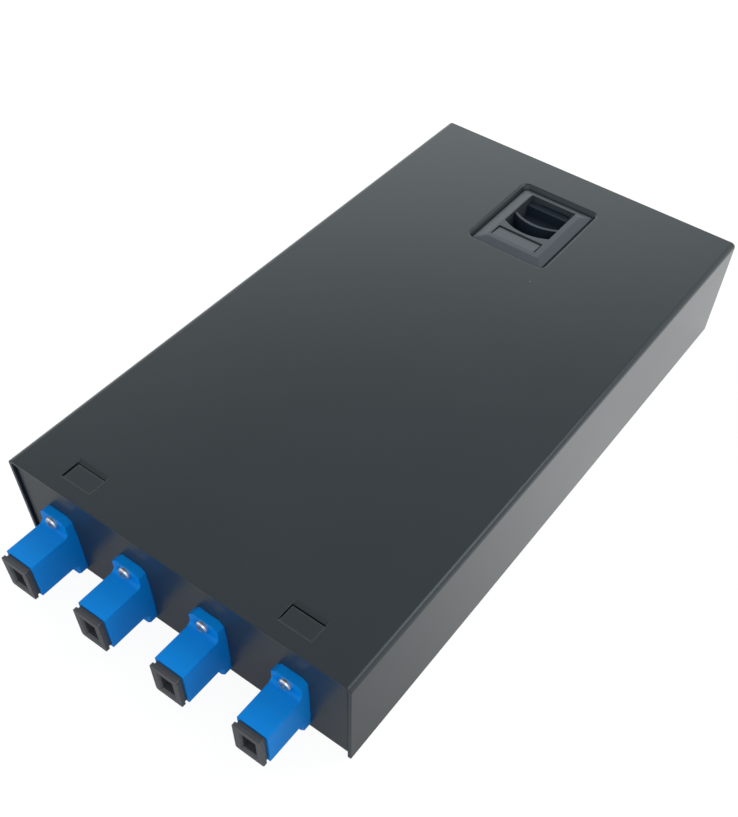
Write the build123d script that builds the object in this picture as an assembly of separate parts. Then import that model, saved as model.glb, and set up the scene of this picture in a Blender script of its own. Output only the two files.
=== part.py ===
from build123d import *
import math
import os

os.makedirs("parts", exist_ok=True)

# Frame: millimetres, +Z up, front panel towards -Y
# Origin: middle of the underside of the 200 by 110 casing

# Sheet metal
case_length = 200.0
case_width = 110.0
case_height = 35.0
sheet = 1.0
bend_inner = 0.6
cover_side_gap = 0.6
cover_top_gap = 0.2
cover_foot_gap = 0.3
panel_inset = 0.7
lip_height = 9.0
lip_setback = 5.3
relief_width = 3.0
front_flange_depth = 13.3
strike_depth = 9.3

# Lanced tongues of the cover
tongue_inset = 19.8
tongue_width = 9.7
tongue_slit = 0.15
tongue_start = 4.4
tongue_root = 2.0
tongue_bend = 0.4
tongue_step = 1.1
tongue_drop = 2.45
tongue_dip = 1.5
tongue_ramps = {-1: 1.2, 1: 3.8}
tongue_reach = 12.0
tongue_hook = 1.1
window_end = 10.1
window_bevel_run = 1.2
window_bevel_drop = 0.55
notch_side_gap = 1.0
notch_floor_gap = 0.15
cover_slide_rise = 0.176

# Adapters
adapter_count = 4
adapter_margin = 16.0
adapter_group_x = -1.75
adapter_z = 12.7
adapter_width = 9.3
adapter_height = 12.6
adapter_front_reach = 15.0
adapter_rear_reach = 12.8
adapter_edge = 0.4
ear_root = 1.2
flange_height = 22.6
flange_thickness = 2.5
flange_chamfer = 1.4
panel_hole_gap = 0.15
ear_hole_pitch = 18.2
port_width = 7.4
port_height = 9.0
key_width = 2.6
key_depth = 0.9
key_length = 10.0

# Ferrule holder and sleeve inside each adapter
holder_gap = 0.05
holder_plate = 1.6
holder_tube_radius = 2.4
holder_tube_reach = 5.7
arm_reach = 7.0
arm_width = 4.0
arm_thickness = 0.9
arm_offset = 3.0
arm_hook = 0.6
sleeve_outer = 1.6
sleeve_bore = 1.25
sleeve_length = 11.2
sleeve_slit = 0.5
sleeve_gap = 0.05
sleeve_lip = 0.1

# Dust plugs
plug_gap = 0.08
plug_insertion = 3.8
plug_face_width = 9.0
plug_face_height = 12.0
plug_face_thickness = 1.0
plug_neck_length = 1.05
plug_neck_step = 0.5
plug_seat_gap = 0.05
plug_recess_width = 4.2
plug_recess_height = 7.1
plug_recess_depth = 4.5
plug_recess_bevel = 0.5
plug_corner = 0.8
plug_neck_corner = 0.5

# Small screws and nuts, M2
small_screw_radius = 0.95
small_head_radius = 1.9
small_head_height = 1.3
small_head_slot = 0.6
head_crown_share = 0.45
head_side_share = 0.55
head_shoulder_share = 0.85
head_recess_share = 0.55
small_nut_flats = 4.0
small_nut_height = 1.6
thread_gap = 0.05
screw_hole_gap = 0.1

# Latch
latch_x = -0.8
latch_inset = 31.8
recess_length = 35.2
recess_width = 27.8
recess_depth = 1.8
recess_slope = 0.9
recess_corner = 2.2
recess_floor_corner = 1.4
recess_lip = 0.7
bezel_length = 32.7
bezel_width = 25.0
bezel_plate = 1.2
bezel_border = 3.1
bezel_border_drop = 0.6
bezel_corner = 0.8
tub_half_width = 9.9
tub_front = -15.0
tub_rear = 15.3
tub_wall = 1.0
tub_depth = 7.4
tub_gap = 0.2
opening_left = -8.9
opening_right = 7.5
opening_front = -2.9
opening_bulge = 2.4
slit_width = 0.45
slit_back = -6.4
slit_length = 5.1
slit_inset = 0.15
finger_drop = 0.4
snap_height = 1.5
snap_out = 0.7
snap_length = 4.0
snap_spread = 6.0

# Latch slide and its spring
slider_gap = 0.2
slider_stroke = 4.0
slider_height = 1.4
slider_front = -9.5
slider_block_rear = -5.0
slider_block_height = 5.6
slider_rear = 13.9
grip_offset = 5.9
grip_thickness = 1.0
grip_top_drop = 0.6
rib_offsets = (2.0, 3.6)
rib_thickness = 0.5
rib_height = 0.6
nose_half_width = 5.0
nose_drop = 1.2
nose_thickness = 1.7
nose_step_front = 11.5
nose_overlap = 1.4
nose_tooth = 1.7
nose_gap = 0.5
spring_radius = 1.7
spring_wire = 0.22
spring_turns = 5
spring_seat_radius = 2.1
spring_seat_depth = 3.5
spring_spigot_radius = 1.2
spring_spigot_length = 1.2

# Fibre tray, its posts and screws
tray_side_inset = 6.0
tray_front_inset = 39.0
tray_rear_inset = 49.0
tray_height = 10.0
tray_floor = 1.5
tray_wall = 1.3
tray_corner = 22.0
tray_lift = 5.0
island_radius = 33.0
island_flat = 14.0
island_wall = 1.2
island_height = 7.0
tray_door = 12.0
tray_door_x = 27.0
tab_reach = 6.0
tab_width = 8.0
tab_thickness = 1.0
tray_hole_x = 18.0
tray_hole_y = 30.0
tray_boss_radius = 4.0
tray_boss_height = 2.5
tie_slot_width = 2.0
tie_slot_length = 5.0
tie_slot_spread = 5.0
tie_slot_inset = 5.0
tray_screw_radius = 1.45
tray_screw_length = 7.0
tray_head_radius = 2.8
tray_head_height = 1.8
tray_head_slot = 0.8
post_radius = 2.75
post_spigot_radius = 2.0
post_bore_depth = 4.2

# Splice holder
comb_length = 60.0
comb_pitch = 3.8
comb_grooves = 6
comb_floor = 1.2
comb_rib = 0.8
comb_height = 5.5
comb_rib_length = 11.0
comb_bead = 0.25
comb_bead_height = 1.0
comb_corner = 1.5
comb_peg_radius = 1.5
comb_peg_x = 24.0
comb_peg_gap = 0.1

# Cable entry
cable_inset = 25.0
cable_z = 10.0
cable_radius = 4.0
grommet_groove_radius = 6.5
grommet_flange_radius = 8.5
grommet_flange_thickness = 1.8
grommet_gap = 0.05
grommet_edge = 0.5
clamp_inset = 18.0
clamp_length = 8.0
clamp_thickness = 1.0
clamp_foot = 9.0
clamp_screw_spread = 10.0
clamp_rise = 5.0
stud_radius = 1.45
stud_height = 5.5
stud_head_radius = 2.3
flush_gap = 0.1
nut_flats = 5.5
nut_height = 2.4
strength_inset = 24.0
strength_radius = 1.95
strength_height = 9.0
strength_head_radius = 2.8
washer_radius = 5.0
washer_thickness = 1.0
strength_nut_flats = 7.0
strength_nut_height = 3.2

# Wall fixing holes in the bottom
wall_hole_radius = 2.25
wall_hole_side_inset = 11.0
wall_hole_end_inset = 30.0

# Places worked out from the sizes above
front_end = -case_length / 2
rear_end = case_length / 2
panel_face = front_end + panel_inset
panel_back = panel_face + sheet
rear_face = rear_end - panel_inset
rear_inside = rear_face - sheet
base_half_width = case_width / 2 - sheet - cover_side_gap
flange_top = case_height - sheet - cover_top_gap
flange_under = flange_top - sheet
bend_outer = bend_inner + sheet
tongue_x = case_width / 2 - tongue_inset
latch_y = rear_end - latch_inset
tray_width = case_width - 2 * tray_side_inset
tray_length = case_length - tray_front_inset - tray_rear_inset
tray_y = (tray_front_inset - tray_rear_inset) / 2
cable_x = case_width / 2 - cable_inset
clamp_y = rear_end - clamp_inset
strength_y = rear_end - strength_inset
wall_hole_x = case_width / 2 - wall_hole_side_inset
wall_hole_y = case_length / 2 - wall_hole_end_inset
adapter_pitch = (case_width - 2 * adapter_margin) / (adapter_count - 1)
adapter_xs = [adapter_group_x + adapter_pitch * (i - (adapter_count - 1) / 2) for i in range(adapter_count)]
adapter_front = panel_face - adapter_front_reach
adapter_rear = panel_face + adapter_rear_reach
adapter_middle = (adapter_front + adapter_rear) / 2
ear_face = panel_face - flange_thickness
ear_zs = [adapter_z - ear_hole_pitch / 2, adapter_z + ear_hole_pitch / 2]
recess_floor = case_height - recess_depth
bezel_top = recess_floor + bezel_plate
tub_bottom = recess_floor - tub_depth
tub_inside = tub_bottom + tub_wall
slider_bottom = tub_inside + slider_gap
slider_top = slider_bottom + slider_height
spring_z = slider_bottom + slider_block_height / 2
strike_edge = rear_face - strike_depth
nose_top = recess_floor - nose_drop
tray_bottom = sheet + tray_lift
tray_top = tray_bottom + tray_height
tray_floor_top = tray_bottom + tray_floor


def block(x0, x1, y0, y1, z0, z1):
    """A rectangular piece between two opposite corners."""
    middle = Pos((x0 + x1) / 2, (y0 + y1) / 2, (z0 + z1) / 2)
    return middle * Box(x1 - x0, y1 - y0, z1 - z0)


def post(x, y, z0, z1, radius):
    """A round piece standing along Z."""
    return Pos(x, y, (z0 + z1) / 2) * Cylinder(radius, z1 - z0)


def pin(x, z, y0, y1, radius):
    """A round piece lying along Y."""
    return Pos(x, (y0 + y1) / 2, z) * Rot(X=90) * Cylinder(radius, y1 - y0)


def hexagon_post(x, y, z0, z1, flats, bore):
    """A hexagon nut standing along Z."""
    outline = RegularPolygon(flats / 2, 6, major_radius=False) - Circle(bore)
    return Pos(x, y, z0) * extrude(outline, z1 - z0)


def folded_section(points):
    """Closed section of a sheet folded along its outer line."""
    outer = FilletPolyline(*points, radius=bend_outer)
    return make_face(offset(outer, amount=sheet, side=Side.LEFT))


def rounded_slab(width, length, corner, z0, z1):
    """A flat slab with rounded corners, centred on Z."""
    return Pos(0, 0, z0) * extrude(RectangleRounded(width, length, corner), z1 - z0)


def taper(low_width, low_length, low_corner, low_z, high_width, high_length, high_corner, high_z):
    """A four-sided taper between two rounded rectangles."""
    lower = Pos(0, 0, low_z) * RectangleRounded(low_width, low_length, low_corner)
    upper = Pos(0, 0, high_z) * RectangleRounded(high_width, high_length, high_corner)
    return loft([lower, upper])


def pan_head(radius, height, slot):
    """Domed head with a cross recess, its seat at Z 0 and its crown up."""
    crown = radius * head_crown_share
    side = height * head_side_share
    outline = Polyline((0, 0), (radius, 0), (radius, side))
    dome = Polyline((radius, side), (radius * head_shoulder_share, height * head_shoulder_share), (crown, height))
    top = Polyline((crown, height), (0, height), (0, 0))
    head = revolve(Plane.XZ * make_face(outline + dome + top), Axis.Z)
    for turn in (0, 90):
        arm = Box(radius, slot, 2 * height * head_recess_share)
        head -= Pos(0, 0, height) * Rot(Z=turn) * arm
    return head


def make_base():
    """Bottom, both end panels and their top flanges, folded from one sheet."""
    front_tip = panel_face + front_flange_depth
    line = [
        (front_tip, flange_top),
        (panel_face, flange_top),
        (panel_face, 0),
        (rear_face, 0),
        (rear_face, flange_top),
        (strike_edge, flange_top),
    ]
    base = extrude(Plane.YZ * folded_section(line), base_half_width, both=True)
    lip_end = rear_face - lip_setback
    flat_half = base_half_width - bend_outer
    for side in (-1, 1):
        edge = side * base_half_width
        flat = side * flat_half
        trim_end = lip_end + relief_width
        base -= block(min(flat, edge), max(flat, edge), -trim_end, trim_end, -sheet, 2 * sheet)
        inner = side * (flat_half - relief_width)
        for end in (-1, 1):
            slot = sorted((end * lip_end, end * trim_end))
            base -= block(min(inner, edge), max(inner, edge), slot[0], slot[1], -sheet, 2 * sheet)
    lips = folded_section([
        (-base_half_width, lip_height),
        (-base_half_width, 0),
        (base_half_width, 0),
        (base_half_width, lip_height),
    ])
    base += extrude(Plane.XZ * lips, lip_end, both=True)
    for x in adapter_xs:
        opening = Box(adapter_width + 2 * panel_hole_gap, 4 * sheet, adapter_height + 2 * panel_hole_gap)
        opening = fillet(opening.edges().filter_by(Axis.Y), adapter_edge)
        base -= Pos(x, panel_face, adapter_z) * opening
        for z in ear_zs:
            base -= pin(x, z, panel_face - sheet, panel_back + sheet, small_screw_radius + screw_hole_gap)
    notch_half = tongue_width / 2 + notch_side_gap
    slide_to_panel = front_end + window_end - tongue_dip - panel_back
    notch_floor = case_height - tongue_drop - sheet + cover_slide_rise * slide_to_panel - notch_floor_gap
    notch_end = front_end + tongue_reach - tongue_hook
    for side in (-1, 1):
        x = side * tongue_x
        base -= block(x - notch_half, x + notch_half, front_end, notch_end, notch_floor, case_height)
        base -= pin(side * cable_x, cable_z, rear_inside - sheet, rear_end, grommet_groove_radius)
        for y in (-wall_hole_y, wall_hole_y):
            base -= post(side * wall_hole_x, y, -sheet, 2 * sheet, wall_hole_radius)
        for y in (-tray_hole_y, tray_hole_y):
            hole = post_spigot_radius + thread_gap
            base -= post(side * tray_hole_x, tray_y + y, -sheet, 2 * sheet, hole)
        for spread in (-clamp_screw_spread, clamp_screw_spread):
            hole = stud_head_radius + thread_gap
            base -= post(side * cable_x + spread, clamp_y, -sheet, 2 * sheet, hole)
    base -= post(0, strength_y, -sheet, 2 * sheet, strength_head_radius + thread_gap)
    return base


def tongue_piece(side):
    """One tongue, pressed down in two steps, its tip reaching under the base's flange."""
    start = front_end + tongue_start
    ramp_end = start + tongue_ramps[side]
    dip_end = front_end + window_end
    step = case_height - tongue_step
    low = case_height - tongue_drop
    tip = front_end + tongue_reach
    line = FilletPolyline(
        (start - tongue_root, case_height),
        (start, case_height),
        (ramp_end, step),
        (dip_end - tongue_dip, step),
        (dip_end, low),
        (tip, low),
        radius=tongue_bend,
    )
    section = make_face(offset(line, amount=sheet, side=Side.RIGHT))
    strip = extrude(Plane.YZ * section, tongue_width / 2, both=True)
    return Pos(side * tongue_x, 0, 0) * strip


def make_cover():
    """Top and two side walls from one sheet, with tongues and latch recess."""
    half = case_width / 2
    line = [(-half, cover_foot_gap), (-half, case_height), (half, case_height), (half, cover_foot_gap)]
    outer = FilletPolyline(*line, radius=bend_outer)
    section = make_face(offset(outer, amount=sheet, side=Side.RIGHT))
    cover = extrude(Plane.XZ * section, case_length / 2, both=True)
    window_half = tongue_width / 2 + tongue_slit
    start = front_end + tongue_start
    end = front_end + window_end
    for side in (-1, 1):
        x = side * tongue_x
        cover -= block(x - window_half, x + window_half, start, end, case_height - 2 * sheet, case_height + sheet)
        bevel = Plane.YZ * make_face(Polyline(
            (end - sheet, case_height - window_bevel_drop),
            (end, case_height - window_bevel_drop),
            (end + window_bevel_run, case_height),
            (end - sheet, case_height),
            (end - sheet, case_height - window_bevel_drop),
        ))
        cover -= Pos(x, 0, 0) * extrude(bevel, window_half, both=True)
        cover += tongue_piece(side)
    at_latch = Pos(latch_x, latch_y, 0)
    foot_width = recess_width - 2 * recess_slope
    foot_length = recess_length - 2 * recess_slope * 0.8
    under = recess_floor - sheet
    bowl = taper(foot_width + sheet, foot_length + sheet, recess_floor_corner, under,
                 recess_width + sheet, recess_length + sheet, recess_corner, case_height - sheet)
    dish = taper(foot_width, foot_length, recess_floor_corner, recess_floor,
                 recess_width, recess_length, recess_corner, case_height)
    cover += at_latch * bowl
    cover -= at_latch * dish
    rim = cover.edges().filter_by(lambda e: abs(e.center().Z - case_height) < 0.01)
    rim = rim.filter_by(lambda e: abs(e.center().X - latch_x) < recess_width / 2 + 0.1)
    rim = rim.filter_by(lambda e: abs(e.center().Y - latch_y) < recess_length / 2 + 0.1)
    cover = fillet(rim, recess_lip)
    hole_half = tub_half_width + tub_gap
    cover -= at_latch * block(-hole_half, hole_half, tub_front - tub_gap, tub_rear + tub_gap,
                              under - sheet, recess_floor + sheet)
    return cover


def bulged_outline(x0, x1, front, rear, bulge):
    """Four-sided outline whose front edge bows towards -Y."""
    middle = (x0 + x1) / 2
    arc = ThreePointArc((x0, front), (middle, front - bulge), (x1, front))
    rest = Polyline((x1, front), (x1, rear), (x0, rear), (x0, front))
    return make_face(arc + rest)


def make_bezel():
    """Latch housing: bevelled plate on the recess floor with a tub below it."""
    plate = rounded_slab(bezel_width, bezel_length, bezel_corner, recess_floor, bezel_top - bezel_border_drop)
    crown = taper(bezel_width, bezel_length, bezel_corner, bezel_top - bezel_border_drop,
                  bezel_width - 2 * bezel_border, bezel_length - 2 * bezel_border, bezel_corner, bezel_top)
    bezel = plate + crown
    bezel += block(-tub_half_width, tub_half_width, tub_front, tub_rear, tub_bottom, recess_floor)
    inner_half = tub_half_width - tub_wall
    opening_rear = tub_rear - tub_wall
    bezel -= block(-inner_half, inner_half, tub_front + tub_wall, opening_rear, tub_inside, recess_floor)
    mouth = bulged_outline(opening_left, opening_right, opening_front, opening_rear, opening_bulge)
    bezel -= Pos(0, 0, recess_floor - sheet) * extrude(mouth, 3 * bezel_plate)
    left = opening_left + slit_inset
    right = opening_right - slit_inset
    slit_front = slit_back - slit_length
    low = recess_floor - sheet
    high = bezel_top + sheet
    bezel -= block(left, right, slit_back - slit_width, slit_back, low, high)
    for x in (left, right - slit_width):
        bezel -= block(x, x + slit_width, slit_front, slit_back, low, high)
    wedge = Plane.YZ * make_face(Polyline(
        (slit_front, bezel_top),
        (slit_back, bezel_top - finger_drop),
        (slit_back, bezel_top + sheet),
        (slit_front, bezel_top + sheet),
        (slit_front, bezel_top),
    ))
    finger_half = (right - left) / 2 - slit_width
    bezel -= Pos((left + right) / 2, 0, 0) * extrude(wedge, finger_half, both=True)
    nose_low = nose_top - nose_thickness
    bezel -= block(-nose_half_width - slider_gap, nose_half_width + slider_gap, opening_rear - sheet,
                   tub_rear + sheet, nose_low - slider_gap, nose_top + slider_gap)
    bezel += pin(0, spring_z, tub_front + tub_wall, tub_front + tub_wall + spring_spigot_length, spring_spigot_radius)
    snap_top = recess_floor - sheet - thread_gap
    for side in (-1, 1):
        for y in (-snap_spread, snap_spread):
            wedge = make_face(Polyline(
                (0, snap_top),
                (side * snap_out, snap_top),
                (0, snap_top - snap_height),
                (0, snap_top),
            ))
            hook = extrude(Plane.XZ * wedge, snap_length / 2, both=True)
            bezel += Pos(side * tub_half_width, y, 0) * hook
    return Pos(latch_x, latch_y, 0) * bezel


def bowed_bar(x0, x1, front, thickness, top):
    """A thin upright bar on the latch slide, bowed like the front of its opening."""
    outer = bulged_outline(x0, x1, front, front + thickness, opening_bulge)
    inner = Pos(0, thickness, 0) * bulged_outline(x0, x1, front, front + thickness, opening_bulge)
    return Pos(0, 0, slider_bottom) * extrude(outer - inner, top - slider_bottom)


def make_slider():
    """Latch slide: plate, spring block, curved finger bar with ribs, and nose."""
    half = tub_half_width - tub_wall - slider_gap
    block_top = slider_bottom + slider_block_height
    slider = block(-half, half, slider_front, slider_rear, slider_bottom, slider_top)
    slider += block(-half, half, slider_front, slider_block_rear, slider_bottom, block_top)
    slider -= pin(0, spring_z, slider_front - 1, slider_front + spring_seat_depth, spring_seat_radius)
    grip_x0 = opening_left + slider_gap
    grip_x1 = opening_right - slider_gap
    grip_front = opening_front + grip_offset
    slider += bowed_bar(grip_x0, grip_x1, grip_front, grip_thickness, bezel_top - grip_top_drop)
    for offset in rib_offsets:
        slider += bowed_bar(grip_x0, grip_x1, grip_front - offset, rib_thickness, slider_top + rib_height)
    nose_low = nose_top - nose_thickness
    tip = strike_edge + nose_overlap - latch_y
    slider += block(-half, half, nose_step_front, slider_rear, slider_bottom, nose_top)
    nose_line = Plane.YZ * make_face(Polyline(
        (nose_step_front, nose_low),
        (tip - nose_thickness, nose_low),
        (tip, nose_top - nose_thickness / 3),
        (tip, flange_under - nose_gap),
        (tip - nose_tooth, flange_under - nose_gap),
        (tip - nose_tooth, nose_top),
        (nose_step_front, nose_top),
        (nose_step_front, nose_low),
    ))
    slider += extrude(nose_line, nose_half_width, both=True)
    return Pos(latch_x, latch_y, 0) * slider


def make_spring():
    """Coil spring between the tub's front wall and the slide."""
    start = tub_front + tub_wall + spring_wire
    end = slider_front + spring_seat_depth - spring_wire
    coil = Helix(pitch=(end - start) / spring_turns, height=end - start, radius=spring_radius)
    wire = sweep(Plane(origin=coil @ 0, z_dir=coil % 0) * Circle(spring_wire), path=coil)
    return Pos(latch_x, latch_y + start, spring_z) * Rot(X=-90) * wire


def make_adapter(x):
    """Adapter housing: one body with a flange, two ports and their keyways."""
    half = adapter_height / 2
    ear = flange_height / 2
    length = adapter_rear - adapter_front
    side = Pos(adapter_middle, 0) * Rectangle(length, adapter_height)
    side += Pos(panel_face - flange_thickness / 2, 0) * Rectangle(flange_thickness, flange_height)
    roots = side.vertices().filter_by(lambda v: abs(v.X - ear_face) < 0.01 and abs(abs(v.Y) - half) < 0.01)
    side = fillet(roots, ear_root)
    body = extrude(Plane.YZ * side, adapter_width / 2, both=True)
    outline = RectangleRounded(adapter_width, adapter_height, adapter_edge)
    ears = chamfer(Rectangle(adapter_width, 2 * ear).vertices(), flange_chamfer)
    front = Pos(0, ear_face - ear_root, 0) * extrude(Plane.XZ * outline, length)
    flange = Pos(0, panel_face, 0) * extrude(Plane.XZ * ears, flange_thickness + ear_root)
    rear = Pos(0, panel_face + length, 0) * extrude(Plane.XZ * outline, length)
    body &= front + flange + rear
    body -= Pos(0, adapter_middle, 0) * Box(port_width, case_length, port_height)
    key_top = port_height / 2 + key_depth
    for y0, y1 in ((adapter_front - 1, adapter_front + key_length), (adapter_rear - key_length, adapter_rear + 1)):
        body -= block(-key_width / 2, key_width / 2, y0, y1, 0, key_top)
    for z in (-ear_hole_pitch / 2, ear_hole_pitch / 2):
        body -= pin(0, z, ear_face - 1, panel_face + 1, small_screw_radius + screw_hole_gap)
    return Pos(x, 0, adapter_z) * body


def make_holder(x):
    """Ferrule holder: plate, sleeve tube and four hooked latch arms."""
    width = port_width - 2 * holder_gap
    height = port_height - 2 * holder_gap
    holder = Box(width, holder_plate, height)
    holder += pin(0, 0, -holder_tube_reach, holder_tube_reach, holder_tube_radius)
    for side in (-1, 1):
        for end in (-1, 1):
            arm = Plane.YZ * make_face(Polyline(
                (0, side * arm_offset),
                (end * (arm_reach - arm_hook), side * arm_offset),
                (end * arm_reach, side * (arm_offset - arm_hook)),
                (end * arm_reach, side * (arm_offset + arm_thickness)),
                (0, side * (arm_offset + arm_thickness)),
                (0, side * arm_offset),
            ))
            holder += extrude(arm, arm_width / 2, both=True)
    bore = sleeve_outer + sleeve_gap
    holder -= pin(0, 0, -holder_tube_reach + sleeve_lip, holder_tube_reach - sleeve_lip, bore)
    holder -= pin(0, 0, -holder_tube_reach - 1, holder_tube_reach + 1, sleeve_bore)
    return Pos(x, adapter_middle, adapter_z) * holder


def make_sleeve(x):
    """Split ceramic sleeve that lines up two ferrules."""
    half = sleeve_length / 2
    sleeve = pin(0, 0, -half, half, sleeve_outer) - pin(0, 0, -half - 1, half + 1, sleeve_bore)
    sleeve -= block(-sleeve_slit / 2, sleeve_slit / 2, -half - 1, half + 1, 0, sleeve_outer + 1)
    return Pos(x, adapter_middle, adapter_z) * sleeve


def make_plug():
    """Dust plug with its mouth towards -Y and its seat at Y 0."""
    neck_width = plug_face_width - 2 * plug_neck_step
    neck_height = plug_face_height - 2 * plug_neck_step
    depth = plug_neck_length + plug_face_thickness
    face = RectangleRounded(plug_face_width, plug_face_height, plug_corner)
    neck = RectangleRounded(neck_width, neck_height, plug_neck_corner)
    seat = -plug_seat_gap
    plug = Pos(0, seat, 0) * extrude(Plane.XZ * neck, plug_neck_length)
    plug += Pos(0, seat - plug_neck_length, 0) * extrude(Plane.XZ * face, plug_face_thickness)
    stem_width = port_width - 2 * plug_gap
    stem_height = port_height - 2 * plug_gap
    plug += block(-stem_width / 2, stem_width / 2, seat, plug_insertion, -stem_height / 2, stem_height / 2)
    front = seat - depth
    recess = block(-plug_recess_width / 2, plug_recess_width / 2, front - 1, front + plug_recess_depth,
                   -plug_recess_height / 2, plug_recess_height / 2)
    plug -= recess
    mouth = plug.edges().filter_by(lambda e: abs(e.center().Y - front) < 0.01)
    mouth = mouth.filter_by(lambda e: abs(e.center().X) < plug_recess_width / 2 + 0.01)
    mouth = mouth.filter_by(lambda e: abs(e.center().Z) < plug_recess_height / 2 + 0.01)
    return chamfer(mouth, plug_recess_bevel)


def make_adapter_screws():
    """Pan-head screws through the adapter ears, all eight."""
    length = flange_thickness + sheet + small_nut_height
    screws = []
    for x in adapter_xs:
        for z in ear_zs:
            head = pan_head(small_head_radius, small_head_height, small_head_slot)
            shank = pin(x, z, ear_face, ear_face + length, small_screw_radius)
            screws.append(Pos(x, ear_face, z) * Rot(X=90) * head + shank)
    return Compound(screws)


def make_adapter_nuts():
    """Hexagon nuts behind the front panel, all eight."""
    nuts = []
    for x in adapter_xs:
        for z in ear_zs:
            nut = hexagon_post(0, 0, 0, small_nut_height, small_nut_flats, small_screw_radius + thread_gap)
            nuts.append(Pos(x, panel_back + small_nut_height, z) * Rot(X=90) * nut)
    return Compound(nuts)


def half_moon(radius, cut, end):
    """Half disc outline of a fibre guide, cut off straight beside its centre."""
    keep = Pos(0, end * (cut + radius)) * Rectangle(2 * radius, 2 * radius)
    return Pos(0, end * island_flat) * (Circle(radius) & keep)


def make_tray():
    """Moulded fibre tray: outer wall, two half-moon guides, tabs and bosses."""
    tray = rounded_slab(tray_width, tray_length, tray_corner, tray_bottom, tray_top)
    tray -= rounded_slab(tray_width - 2 * tray_wall, tray_length - 2 * tray_wall, tray_corner - tray_wall,
                         tray_floor_top, tray_top + 1)
    inner_half = tray_width / 2 - tray_wall
    inner_end = tray_length / 2 - tray_wall
    for end in (-1, 1):
        ring = half_moon(island_radius, 0, end) - half_moon(island_radius - island_wall, island_wall, end)
        tray += Pos(0, 0, tray_floor_top) * extrude(ring, island_height)
        for x in (-tray_door_x, tray_door_x):
            wall = sorted((end * (inner_end - tray_wall), end * (inner_end + 2 * tray_wall)))
            tray -= block(x - tray_door / 2, x + tray_door / 2, wall[0], wall[1], tray_floor_top, tray_top + 1)
            for spread in (-tie_slot_spread, tie_slot_spread):
                slot = Pos(x + spread, end * (inner_end - tie_slot_inset), tray_bottom)
                tray -= slot * Box(tie_slot_width, tie_slot_length, 4 * tray_floor)
        tab = sorted((end * (inner_end - tab_reach), end * (inner_end + tray_wall / 2)))
        tray += block(-tab_width / 2, tab_width / 2, tab[0], tab[1], tray_top - tab_thickness, tray_top)
    for side in (-1, 1):
        for y in (-island_flat, island_flat):
            tab = sorted((side * (inner_half - tab_reach), side * (inner_half + tray_wall / 2)))
            tray += block(tab[0], tab[1], y - tab_width / 2, y + tab_width / 2, tray_top - tab_thickness, tray_top)
        for y in (-tray_hole_y, tray_hole_y):
            x = side * tray_hole_x
            tray += post(x, y, tray_bottom, tray_floor_top + tray_boss_height, tray_boss_radius)
            hole = tray_screw_radius + screw_hole_gap
            tray -= post(x, y, tray_bottom - 1, tray_top, hole)
        tray -= post(side * comb_peg_x, 0, tray_bottom - 1, tray_top, comb_peg_radius + comb_peg_gap)
    return Pos(0, tray_y, 0) * tray


def make_comb():
    """Splice holder: floor with rows of short beaded ribs and two pegs."""
    depth = comb_grooves * comb_pitch + comb_rib
    floor = rounded_slab(comb_length, depth, comb_corner, tray_floor_top, tray_floor_top + comb_floor)
    top = tray_floor_top + comb_height
    reach = (comb_length - comb_rib_length) / 2
    for i in range(comb_grooves + 1):
        y = (i - comb_grooves / 2) * comb_pitch
        for x in (-reach, 0, reach):
            rib = block(x - comb_rib_length / 2, x + comb_rib_length / 2, y - comb_rib / 2, y + comb_rib / 2,
                        tray_floor_top, top)
            bead = block(x - comb_rib_length / 2, x + comb_rib_length / 2, y - comb_rib / 2 - comb_bead,
                         y + comb_rib / 2 + comb_bead, top - comb_bead_height, top)
            bead = chamfer(bead.edges().filter_by(Axis.X), comb_bead)
            floor += rib + bead
    for side in (-1, 1):
        floor += post(side * comb_peg_x, 0, tray_bottom, tray_floor_top, comb_peg_radius)
    return Pos(0, tray_y, 0) * floor


def tray_points():
    """The four places where the tray is screwed down."""
    return [(x, tray_y + y) for x in (-tray_hole_x, tray_hole_x) for y in (-tray_hole_y, tray_hole_y)]


def make_standoffs():
    """Round posts set into the bottom, each with a threaded bore."""
    posts = []
    for x, y in tray_points():
        body = post(x, y, sheet, tray_bottom, post_radius) + post(x, y, flush_gap, sheet, post_spigot_radius)
        bore = tray_screw_radius + thread_gap
        posts.append(body - post(x, y, tray_bottom - post_bore_depth, tray_bottom + 1, bore))
    return Compound(posts)


def make_tray_screws():
    """Pan-head screws that hold the tray on its posts."""
    seat = tray_floor_top + tray_boss_height
    screws = []
    for x, y in tray_points():
        head = Pos(x, y, seat) * pan_head(tray_head_radius, tray_head_height, tray_head_slot)
        screws.append(head + post(x, y, seat - tray_screw_length, seat, tray_screw_radius))
    return Compound(screws)


def make_grommet(side):
    """Rubber grommet in the rear panel, its bore open for a cable."""
    outer = rear_face + grommet_flange_thickness
    inner = rear_inside - grommet_flange_thickness
    x = side * cable_x
    grommet = pin(x, cable_z, rear_face, outer, grommet_flange_radius)
    grommet += pin(x, cable_z, inner, rear_inside, grommet_flange_radius)
    ends = grommet.edges().filter_by(lambda e: abs(e.center().Y - outer) < 0.01 or abs(e.center().Y - inner) < 0.01)
    grommet = chamfer(ends, grommet_edge)
    grommet += pin(x, cable_z, rear_inside, rear_face, grommet_groove_radius - grommet_gap)
    return grommet - pin(x, cable_z, inner - 1, outer + 1, cable_radius)


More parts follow.
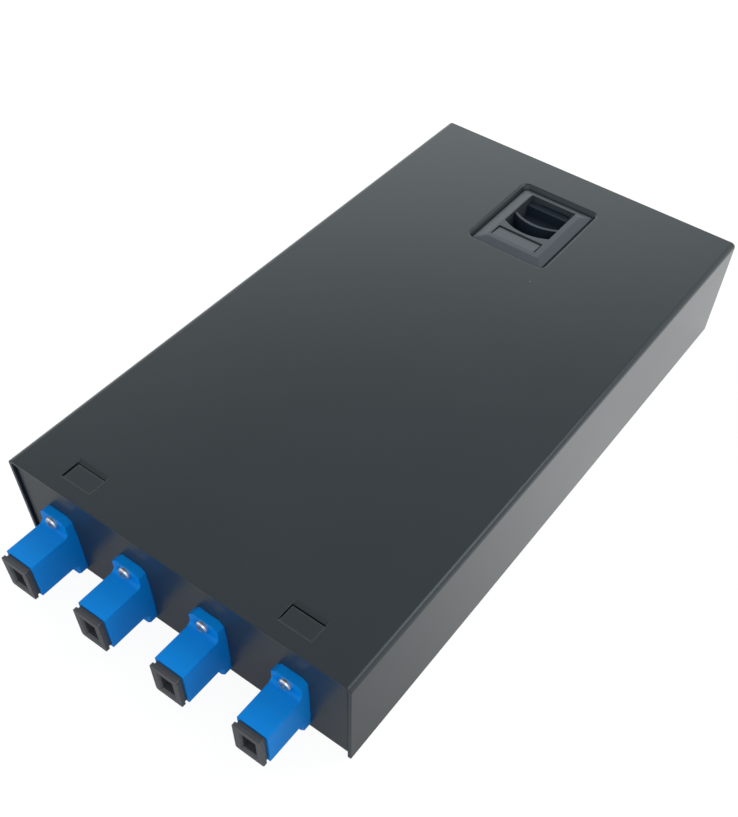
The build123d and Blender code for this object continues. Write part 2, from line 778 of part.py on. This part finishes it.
def make_clamp(side):
    """Saddle strap over one cable, with a foot and a hole each side."""
    arch_z = sheet + clamp_rise
    outer = cable_radius + clamp_thickness
    far = outer + clamp_foot
    section = Rectangle(2 * far, clamp_thickness, align=(Align.CENTER, Align.MIN))
    section += Rectangle(2 * outer, clamp_rise, align=(Align.CENTER, Align.MIN))
    section += Pos(0, clamp_rise) * Circle(outer)
    section -= Rectangle(2 * cable_radius, clamp_rise, align=(Align.CENTER, Align.MIN))
    section -= Pos(0, clamp_rise) * Circle(cable_radius)
    section = section - Pos(0, -outer) * Rectangle(2 * outer, 2 * outer)
    strap = extrude(Plane.XZ * (Pos(0, sheet) * section), clamp_length / 2, both=True)
    for spread in (-clamp_screw_spread, clamp_screw_spread):
        strap -= post(spread, 0, 0, arch_z, stud_radius + screw_hole_gap)
    return Pos(side * cable_x, clamp_y, 0) * strap


def clamp_points():
    """The four places where the cable straps are bolted down."""
    spreads = (-clamp_screw_spread, clamp_screw_spread)
    return [(side * cable_x + spread, clamp_y) for side in (-1, 1) for spread in spreads]


def make_clamp_studs():
    """Studs whose heads sit in the bottom, flush with its underside."""
    studs = []
    for x, y in clamp_points():
        head = post(x, y, flush_gap, sheet, stud_head_radius)
        studs.append(head + post(x, y, sheet, sheet + stud_height, stud_radius))
    return Compound(studs)


def make_clamp_nuts():
    """Hexagon nuts on the feet of the cable straps."""
    seat = sheet + clamp_thickness
    bore = stud_radius + thread_gap
    return Compound([hexagon_post(x, y, seat, seat + nut_height, nut_flats, bore) for x, y in clamp_points()])


def make_strength_stud():
    """Stud for the strength members of both cables."""
    stud = post(0, strength_y, flush_gap, sheet, strength_head_radius)
    return stud + post(0, strength_y, sheet, sheet + strength_height, strength_radius)


def make_strength_washers():
    """Two plain washers that grip the strength members between them."""
    bore = strength_radius + screw_hole_gap
    washers = []
    for i in range(2):
        z0 = sheet + i * washer_thickness
        ring = post(0, strength_y, z0, z0 + washer_thickness, washer_radius)
        washers.append(ring - post(0, strength_y, 0, case_height, bore))
    return Compound(washers)


def make_strength_nut():
    """Hexagon nut on top of the washers."""
    seat = sheet + 2 * washer_thickness
    bore = strength_radius + thread_gap
    return hexagon_post(0, strength_y, seat, seat + strength_nut_height, strength_nut_flats, bore)


def save(name, shape):
    """Write one sub-part as a STEP file."""
    export_step(shape, f"parts/{name}.step")


save("base_tray", make_base())
save("cover", make_cover())
save("latch_bezel", make_bezel())
save("latch_slider", make_slider())
save("latch_spring", make_spring())
for number, x in enumerate(adapter_xs, start=1):
    save(f"adapter_{number}", make_adapter(x))
    save(f"adapter_holder_{number}", make_holder(x))
    save(f"adapter_sleeve_{number}", make_sleeve(x))
    save(f"front_plug_{number}", Pos(x, adapter_front, adapter_z) * make_plug())
    save(f"rear_plug_{number}", Pos(x, adapter_rear, adapter_z) * Rot(Z=180) * make_plug())
save("adapter_screws", make_adapter_screws())
save("adapter_nuts", make_adapter_nuts())
save("splice_tray", make_tray())
save("splice_comb", make_comb())
save("tray_standoffs", make_standoffs())
save("tray_screws", make_tray_screws())
save("cable_grommet_left", make_grommet(-1))
save("cable_grommet_right", make_grommet(1))
save("cable_clamp_left", make_clamp(-1))
save("cable_clamp_right", make_clamp(1))
save("clamp_studs", make_clamp_studs())
save("clamp_nuts", make_clamp_nuts())
save("strength_stud", make_strength_stud())
save("strength_washers", make_strength_washers())
save("strength_nut", make_strength_nut())
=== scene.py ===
import math
import bpy
from mathutils import Matrix, Vector


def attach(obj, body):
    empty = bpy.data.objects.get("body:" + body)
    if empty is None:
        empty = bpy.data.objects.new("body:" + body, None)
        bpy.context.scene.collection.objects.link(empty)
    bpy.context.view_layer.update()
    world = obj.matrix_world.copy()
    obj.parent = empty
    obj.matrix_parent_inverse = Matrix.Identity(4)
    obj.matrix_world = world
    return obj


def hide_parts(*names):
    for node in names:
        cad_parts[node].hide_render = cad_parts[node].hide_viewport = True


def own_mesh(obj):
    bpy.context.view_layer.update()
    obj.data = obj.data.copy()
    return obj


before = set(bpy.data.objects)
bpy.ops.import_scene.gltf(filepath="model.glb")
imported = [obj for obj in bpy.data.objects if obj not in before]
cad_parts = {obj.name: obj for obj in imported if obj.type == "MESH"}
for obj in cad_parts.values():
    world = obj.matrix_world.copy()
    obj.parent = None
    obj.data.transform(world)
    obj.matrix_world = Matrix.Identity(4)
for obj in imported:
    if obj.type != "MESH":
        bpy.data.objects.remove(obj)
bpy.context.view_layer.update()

# Floor and white surround
# A seamless white table that takes the shadow. The camera sees it as white paper. In gloss rays it
# glows as a painted reflection, dark near the front of the box and bright towards the rear, so the
# front panel stays dark.
scene = bpy.context.scene
scene.view_settings.view_transform = "Standard"
floor_half = 4.0
floor_corners = [
    (-floor_half, -floor_half, 0),
    (floor_half, -floor_half, 0),
    (floor_half, floor_half, 0),
    (-floor_half, floor_half, 0),
]
floor_mesh = bpy.data.meshes.new("table_top")
floor_mesh.from_pydata(floor_corners, [], [(0, 1, 2, 3)])
table_top = bpy.data.objects.new("table_top", floor_mesh)
scene.collection.objects.link(table_top)


def seen_directly(nodes, links, view_share, gloss_share):
    """A share for camera and transmission rays, one for gloss rays, and 0 for bounced light."""
    path = nodes.new("ShaderNodeLightPath")
    shares = {"Camera": view_share, "Transmission": view_share, "Glossy": gloss_share}
    share = None
    for ray, ray_share in shares.items():
        step = nodes.new("ShaderNodeMath")
        step.operation = "MULTIPLY_ADD"
        step.inputs[1].default_value = ray_share
        step.inputs[2].default_value = 0.0
        links.new(path.outputs[f"Is {ray} Ray"], step.inputs[0])
        if share is not None:
            links.new(share, step.inputs[2])
        share = step.outputs[0]
    return share


def smooth_ramp(nodes, start, end, low, high):
    """A Map Range node that eases from low to high between two places."""
    ramp = nodes.new("ShaderNodeMapRange")
    ramp.interpolation_type = "SMOOTHSTEP"
    ramp.inputs["From Min"].default_value = start
    ramp.inputs["From Max"].default_value = end
    ramp.inputs["To Min"].default_value = low
    ramp.inputs["To Max"].default_value = high
    return ramp


paper_level = 1.03
paper_and_painted_reflection = bpy.data.materials.new("white_paper_and_painted_reflection")
paper_and_painted_reflection.use_nodes = True
nodes, links = paper_and_painted_reflection.node_tree.nodes, paper_and_painted_reflection.node_tree.links
paper_shader = nodes["Principled BSDF"]
paper_shader.inputs["Base Color"].default_value = (0.93, 0.93, 0.93, 1)
paper_shader.inputs["Roughness"].default_value = 0.9
table_way = nodes.new("ShaderNodeTexCoord")
table_split = nodes.new("ShaderNodeSeparateXYZ")
links.new(table_way.outputs["Object"], table_split.inputs[0])
# Painted reflection: gloss rays see the table glow dark at the front of the box and bright behind it.
painted_reflection_ramp = smooth_ramp(nodes, start=-0.14, end=0.04, low=0.03, high=1.45)
links.new(table_split.outputs["Y"], painted_reflection_ramp.inputs["Value"])
gloss_only = seen_directly(nodes, links, view_share=0.0, gloss_share=1.0)
paper_and_painted_reflection_strength = nodes.new("ShaderNodeMix")
paper_and_painted_reflection_strength.inputs["A"].default_value = paper_level
links.new(gloss_only, paper_and_painted_reflection_strength.inputs["Factor"])
links.new(painted_reflection_ramp.outputs["Result"], paper_and_painted_reflection_strength.inputs["B"])
paper_and_painted_reflection_glow = nodes.new("ShaderNodeEmission")
links.new(paper_and_painted_reflection_strength.outputs["Result"], paper_and_painted_reflection_glow.inputs["Strength"])
# Camera rays see mostly the even white glow; gloss rays see the painted reflection over the lit
# table.
glow_share = seen_directly(nodes, links, view_share=0.9, gloss_share=0.55)
paper_mix = nodes.new("ShaderNodeMixShader")
links.new(glow_share, paper_mix.inputs["Fac"])
links.new(paper_shader.outputs[0], paper_mix.inputs[1])
links.new(paper_and_painted_reflection_glow.outputs[0], paper_mix.inputs[2])
links.new(paper_mix.outputs[0], nodes["Material Output"].inputs["Surface"])
floor_mesh.materials.append(paper_and_painted_reflection)

# Light
# A white room with a dimmer ceiling gives even fill and the long soft gleam along the cover. A wide
# lamp at the rear left lifts that gleam; small ones at the rear right and front right fill in.
world = bpy.data.worlds.new("white_room")
scene.world = world
world.use_nodes = True
nodes, links = world.node_tree.nodes, world.node_tree.links
room_fill, room_walls, room_ceiling = 0.88, 1.0, 0.46
room_way = nodes.new("ShaderNodeTexCoord")
room_split = nodes.new("ShaderNodeSeparateXYZ")
links.new(room_way.outputs["Generated"], room_split.inputs[0])
room_height = smooth_ramp(nodes, start=0.52, end=0.74, low=room_walls, high=room_ceiling)
links.new(room_split.outputs["Z"], room_height.inputs["Value"])
room_seen = nodes.new("ShaderNodeMix")
room_seen.inputs["A"].default_value = room_fill
links.new(room_height.outputs["Result"], room_seen.inputs["B"])
room_share = seen_directly(nodes, links, view_share=1.0, gloss_share=1.0)
links.new(room_share, room_seen.inputs["Factor"])
links.new(room_seen.outputs["Result"], nodes["Background"].inputs["Strength"])
nodes["Background"].inputs["Color"].default_value = (0.965, 0.985, 1.0, 1)
lamp_aim = (0, 0, 0.03)


def soft_lamp(name, place, width, height, power):
    """A rectangular lamp at a place, turned towards the box."""
    data = bpy.data.lights.new(name, "AREA")
    data.shape = "RECTANGLE"
    data.size = width
    data.size_y = height
    data.energy = power
    lamp = bpy.data.objects.new(name, data)
    lamp.location = place
    lamp.rotation_euler = (Vector(lamp_aim) - Vector(place)).to_track_quat("-Z", "Y").to_euler()
    scene.collection.objects.link(lamp)


soft_lamp("rear_left_lamp", (-1.1, 1.05, 0.70), width=2.1, height=0.75, power=3.8)
soft_lamp("rear_right_lamp", (0.7, 0.75, 1.3), width=0.7, height=0.7, power=5.5)
soft_lamp("front_right_lamp", (0.7, -1.0, 1.0), width=0.8, height=0.8, power=4.0)

# Camera
# It stands in front and to the right, and looks steeply down, as the photograph was taken.
camera_place = (0.11870, -0.18399, 0.23046)
camera_yaw, camera_tilt, camera_roll = 33.31, 36.31, 3.47
camera_data = bpy.data.cameras.new("photo_camera")
camera_data.sensor_width = 36.0
camera_data.lens = 44.37
camera_data.shift_x = -0.0287
camera_data.shift_y = 0.1752
camera_data.clip_start = 0.01
camera = bpy.data.objects.new("photo_camera", camera_data)
turn = Matrix.Rotation(math.radians(camera_yaw), 4, "Z")
turn = turn @ Matrix.Rotation(math.radians(camera_tilt), 4, "X")
turn = turn @ Matrix.Rotation(math.radians(camera_roll), 4, "Z")
camera.matrix_world = Matrix.Translation(camera_place) @ turn
scene.collection.objects.link(camera)
scene.camera = camera

# Folded base
# One sheet of steel, punched and bent into the bottom, both end panels and their top flanges.
# It is powder coated dark grey after bending, so the paint rounds every cut edge.


def new_group(name, inputs, outputs):
    """An empty shader node group with named sockets, and its input and output nodes."""
    group = bpy.data.node_groups.new(name, "ShaderNodeTree")
    for label, kind, value in inputs:
        socket = group.interface.new_socket(label, in_out="INPUT", socket_type=kind)
        if value is not None:
            socket.default_value = value
    for label, kind in outputs:
        group.interface.new_socket(label, in_out="OUTPUT", socket_type=kind)
    return group, group.nodes.new("NodeGroupInput"), group.nodes.new("NodeGroupOutput")


def place_group(material, group, **values):
    """Puts a node group in a material with its own values, fed by the piece's own coordinates."""
    nodes, links = material.node_tree.nodes, material.node_tree.links
    placed = nodes.new("ShaderNodeGroup")
    placed.node_tree = group
    where = nodes.new("ShaderNodeTexCoord")
    links.new(where.outputs["Object"], placed.inputs["Place"])
    for label, value in values.items():
        placed.inputs[label.replace("_", " ").capitalize()].default_value = value
    return placed


def add_math(tree, operation, first, second):
    """The result of a Math node, whose inputs are sockets or numbers."""
    node = tree.nodes.new("ShaderNodeMath")
    node.operation = operation
    for i, value in enumerate((first, second)):
        if isinstance(value, (int, float)):
            node.inputs[i].default_value = value
        else:
            tree.links.new(value, node.inputs[i])
    return node.outputs[0]


# Effect: grain. A fine pebbled height, as on powder coat or spark-eroded moulds, and a slow mottle.
grain, entry, leave = new_group(
    "grain",
    [
        ("Place", "NodeSocketVector", None),
        ("Grain size", "NodeSocketFloat", 0.0006),
        ("Mottle size", "NodeSocketFloat", 0.03),
    ],
    [("Height", "NodeSocketFloat"), ("Mottle", "NodeSocketFloat")],
)
for label, result, detail in (("Grain size", "Height", 3.0), ("Mottle size", "Mottle", 4.0)):
    noise = grain.nodes.new("ShaderNodeTexNoise")
    noise.inputs["Detail"].default_value = detail
    grain.links.new(entry.outputs["Place"], noise.inputs["Vector"])
    grain.links.new(add_math(grain, "DIVIDE", 1.0, entry.outputs[label]), noise.inputs["Scale"])
    grain.links.new(noise.outputs["Fac"], leave.inputs[result])


def shader_input(material, label):
    """A socket of the material's Principled shader."""
    return material.node_tree.nodes["Principled BSDF"].inputs[label]


def finish(name, dark, light, roughness, spread, grain_size, mottle_size, grain_height, easing):
    """A Principled material: two close colours, uneven gloss, fine grain and softly turned edges."""
    material = bpy.data.materials.new(name)
    material.use_nodes = True
    tree = material.node_tree
    placed = place_group(material, grain, grain_size=grain_size, mottle_size=mottle_size)
    mix = tree.nodes.new("ShaderNodeMix")
    mix.data_type = "RGBA"
    mix.inputs["A"].default_value = (*dark, 1)
    mix.inputs["B"].default_value = (*light, 1)
    tree.links.new(placed.outputs["Mottle"], mix.inputs["Factor"])
    tree.links.new(mix.outputs["Result"], shader_input(material, "Base Color"))
    rough = tree.nodes.new("ShaderNodeMapRange")
    rough.inputs["To Min"].default_value = roughness - spread
    rough.inputs["To Max"].default_value = roughness + spread
    tree.links.new(placed.outputs["Mottle"], rough.inputs["Value"])
    tree.links.new(rough.outputs["Result"], shader_input(material, "Roughness"))
    eased = tree.nodes.new("ShaderNodeBevel")
    eased.samples = 6
    eased.inputs["Radius"].default_value = easing
    bump = tree.nodes.new("ShaderNodeBump")
    bump.inputs["Distance"].default_value = grain_height
    tree.links.new(placed.outputs["Height"], bump.inputs["Height"])
    tree.links.new(eased.outputs["Normal"], bump.inputs["Normal"])
    tree.links.new(bump.outputs["Normal"], shader_input(material, "Normal"))
    return material


def dress(node, material):
    """Gives a solid of the frame its finish."""
    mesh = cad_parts[node].data
    mesh.materials.clear()
    mesh.materials.append(material)


paint_gloss_tint = (0.84, 0.96, 1.0, 1)
base_paint = finish(
    "base_powder_coat", (0.014, 0.018, 0.022), (0.019, 0.024, 0.029), roughness=0.30, spread=0.03,
    grain_size=0.0007, mottle_size=0.05, grain_height=0.000007, easing=0.00015,
)
shader_input(base_paint, "Specular Tint").default_value = paint_gloss_tint
dress("base_tray", base_paint)

# Adapters
# Four single SC couplers, each moulded in one piece from blue plastic with an ear up and an ear down.
# They go through the front panel from outside and are screwed to it by their ears.
port_numbers = range(1, 5)
adapter_blue = finish(
    "adapter_blue", (0.0, 0.200, 0.62), (0.0, 0.215, 0.67), roughness=0.48, spread=0.03,
    grain_size=0.0005, mottle_size=0.012, grain_height=0.000008, easing=0.0002,
)
shader_input(adapter_blue, "Specular IOR Level").default_value = 0.12
for i in port_numbers:
    dress(f"adapter_{i}", adapter_blue)

# Ferrule holders and sleeves
# A natural nylon holder with hooked arms is snapped in each coupler, around a split zirconia sleeve.
holder_nylon = finish(
    "holder_nylon", (0.66, 0.66, 0.62), (0.75, 0.75, 0.71), roughness=0.42, spread=0.04,
    grain_size=0.0005, mottle_size=0.008, grain_height=0.000006, easing=0.0001,
)
zirconia = finish(
    "zirconia", (0.80, 0.80, 0.77), (0.86, 0.86, 0.83), roughness=0.16, spread=0.03,
    grain_size=0.0003, mottle_size=0.006, grain_height=0.000001, easing=0.00005,
)
for i in port_numbers:
    dress(f"adapter_holder_{i}", holder_nylon)
    dress(f"adapter_sleeve_{i}", zirconia)

# Dust plugs
# Pushed into every port: moulded from soft black plastic, with a flanged face and a square recess.
plug_black = finish(
    "plug_black", (0.038, 0.042, 0.048), (0.048, 0.053, 0.060), roughness=0.36, spread=0.04,
    grain_size=0.0005, mottle_size=0.006, grain_height=0.000012, easing=0.0002,
)
for i in port_numbers:
    dress(f"front_plug_{i}", plug_black)
    dress(f"rear_plug_{i}", plug_black)

# Screws and nuts of the adapters
# Bright zinc-plated M2 pan heads with a cross recess, and hexagon nuts behind the panel.
zinc = finish(
    "bright_zinc", (0.68, 0.69, 0.70), (0.78, 0.79, 0.80), roughness=0.30, spread=0.05,
    grain_size=0.0003, mottle_size=0.003, grain_height=0.000002, easing=0.00005,
)
shader_input(zinc, "Metallic").default_value = 1.0
dress("adapter_screws", zinc)
dress("adapter_nuts", zinc)

# Fibre tray
# Moulded from light grey plastic, with guides, retaining tabs and bosses; it stands on turned posts.
tray_grey = finish(
    "tray_grey", (0.52, 0.53, 0.53), (0.58, 0.59, 0.59), roughness=0.45, spread=0.04,
    grain_size=0.0006, mottle_size=0.02, grain_height=0.00001, easing=0.0002,
)
dress("splice_tray", tray_grey)
dress("splice_comb", tray_grey)
dress("tray_standoffs", zinc)
dress("tray_screws", zinc)

# Cable entry
# Rubber grommets line the two holes of the rear panel; bent straps, studs and nuts hold the cables.
rubber = finish(
    "black_rubber", (0.014, 0.014, 0.014), (0.022, 0.022, 0.022), roughness=0.62, spread=0.05,
    grain_size=0.0004, mottle_size=0.01, grain_height=0.00001, easing=0.0003,
)
for side in ("left", "right"):
    dress(f"cable_grommet_{side}", rubber)
    dress(f"cable_clamp_{side}", zinc)
for fastener in ("clamp_studs", "clamp_nuts", "strength_stud", "strength_washers", "strength_nut"):
    dress(fastener, zinc)

# Cover
# One folded sheet, powder coated like the base. Two tongues are lanced and pressed down near the
# front, and a shallow recess is drawn for the latch near the rear. A few specks of dust lie on it.
cover_paint = finish(
    "cover_powder_coat", (0.015, 0.019, 0.022), (0.020, 0.025, 0.029), roughness=0.29, spread=0.03,
    grain_size=0.0007, mottle_size=0.06, grain_height=0.000007, easing=0.0004,
)
shader_input(cover_paint, "Specular Tint").default_value = paint_gloss_tint

# Effect: specks. Rare pale specks of dust, each inside its own cell, on part of the surface.
specks, entry, leave = new_group(
    "specks",
    [
        ("Place", "NodeSocketVector", None),
        ("Cell size", "NodeSocketFloat", 0.009),
        ("Speck size", "NodeSocketFloat", 0.00022),
        ("Share", "NodeSocketFloat", 0.16),
    ],
    [("Mask", "NodeSocketFloat")],
)
smallest_speck = 0.3
cells = specks.nodes.new("ShaderNodeTexVoronoi")
specks.links.new(entry.outputs["Place"], cells.inputs["Vector"])
specks.links.new(add_math(specks, "DIVIDE", 1.0, entry.outputs["Cell size"]), cells.inputs["Scale"])
reach = add_math(specks, "DIVIDE", entry.outputs["Speck size"], entry.outputs["Cell size"])
split = specks.nodes.new("ShaderNodeSeparateColor")
specks.links.new(cells.outputs["Color"], split.inputs["Color"])
growth = add_math(specks, "ADD", split.outputs["Green"], smallest_speck)
sized = add_math(specks, "MULTIPLY", reach, growth)
near = add_math(specks, "LESS_THAN", cells.outputs["Distance"], sized)
chosen = add_math(specks, "LESS_THAN", split.outputs["Red"], entry.outputs["Share"])
specks.links.new(add_math(specks, "MULTIPLY", near, chosen), leave.inputs["Mask"])

tree = cover_paint.node_tree
dust_colour = (0.55, 0.55, 0.52, 1)
dust = place_group(cover_paint, specks, cell_size=0.013, speck_size=0.0002, share=0.1)
dusted = tree.nodes.new("ShaderNodeMix")
dusted.data_type = "RGBA"
dusted.inputs["B"].default_value = dust_colour
paint_colour = shader_input(cover_paint, "Base Color")
tree.links.new(dust.outputs["Mask"], dusted.inputs["Factor"])
tree.links.new(paint_colour.links[0].from_socket, dusted.inputs["A"])
tree.links.new(dusted.outputs["Result"], paint_colour)
dress("cover", cover_paint)

# Tongue faces
# The real tongues are pressed so little that they lie almost level with the cover's top. A thin
# painted skin shows that level over each solid tongue, with a dark slit on its left and behind it.
tongue_x, tongue_half, tongue_front, tongue_rear = 0.0352, 0.00485, -0.0957, -0.0899
face_top, face_thickness, right_overlap = 0.03493, 0.0003, 0.00012
for side, left_slit, rear_slit in ((-1, 0.00055, 0.00040), (1, 0.00030, 0.00060)):
    x0 = side * tongue_x - tongue_half + left_slit
    x1 = side * tongue_x + tongue_half + right_overlap
    y1 = tongue_rear - rear_slit
    corners = [
        (x, y, z)
        for z in (face_top - face_thickness, face_top)
        for x, y in ((x0, tongue_front), (x1, tongue_front), (x1, y1), (x0, y1))
    ]
    sides = [(i, (i + 1) % 4, (i + 1) % 4 + 4, i + 4) for i in range(4)]
    skin_mesh = bpy.data.meshes.new("tongue_face")
    skin_mesh.from_pydata(corners, [], [(3, 2, 1, 0), (4, 5, 6, 7)] + sides)
    skin_mesh.materials.append(cover_paint)
    skin = bpy.data.objects.new("tongue_face_left" if side < 0 else "tongue_face_right", skin_mesh)
    scene.collection.objects.link(skin)
    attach(skin, "cover")

# Latch
# A moulded housing snapped into the recess, a sliding bolt with a curved finger bar, and a coil
# spring of drawn wire between them.
housing_plastic = finish(
    "housing_plastic", (0.039, 0.047, 0.056), (0.047, 0.056, 0.067), roughness=0.38, spread=0.04,
    grain_size=0.0005, mottle_size=0.01, grain_height=0.000012, easing=0.0002,
)
shader_input(housing_plastic, "Specular Tint").default_value = (0.84, 0.93, 1.0, 1)
dress("latch_bezel", housing_plastic)
slide_plastic = finish(
    "slide_plastic", (0.011, 0.018, 0.028), (0.014, 0.023, 0.035), roughness=0.4, spread=0.04,
    grain_size=0.0005, mottle_size=0.01, grain_height=0.00001, easing=0.00015,
)
dress("latch_slider", slide_plastic)
spring_wire = finish(
    "spring_wire", (0.52, 0.53, 0.54), (0.60, 0.61, 0.62), roughness=0.28, spread=0.04,
    grain_size=0.0003, mottle_size=0.002, grain_height=0.000002, easing=0.00003,
)
shader_input(spring_wire, "Metallic").default_value = 1.0
coil = bpy.data.objects.new("coil_spring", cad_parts["latch_spring"].data.copy())
coil.data.materials.clear()
coil.data.materials.append(spring_wire)
scene.collection.objects.link(coil)
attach(coil, "cover")
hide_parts("latch_spring")
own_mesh(coil)
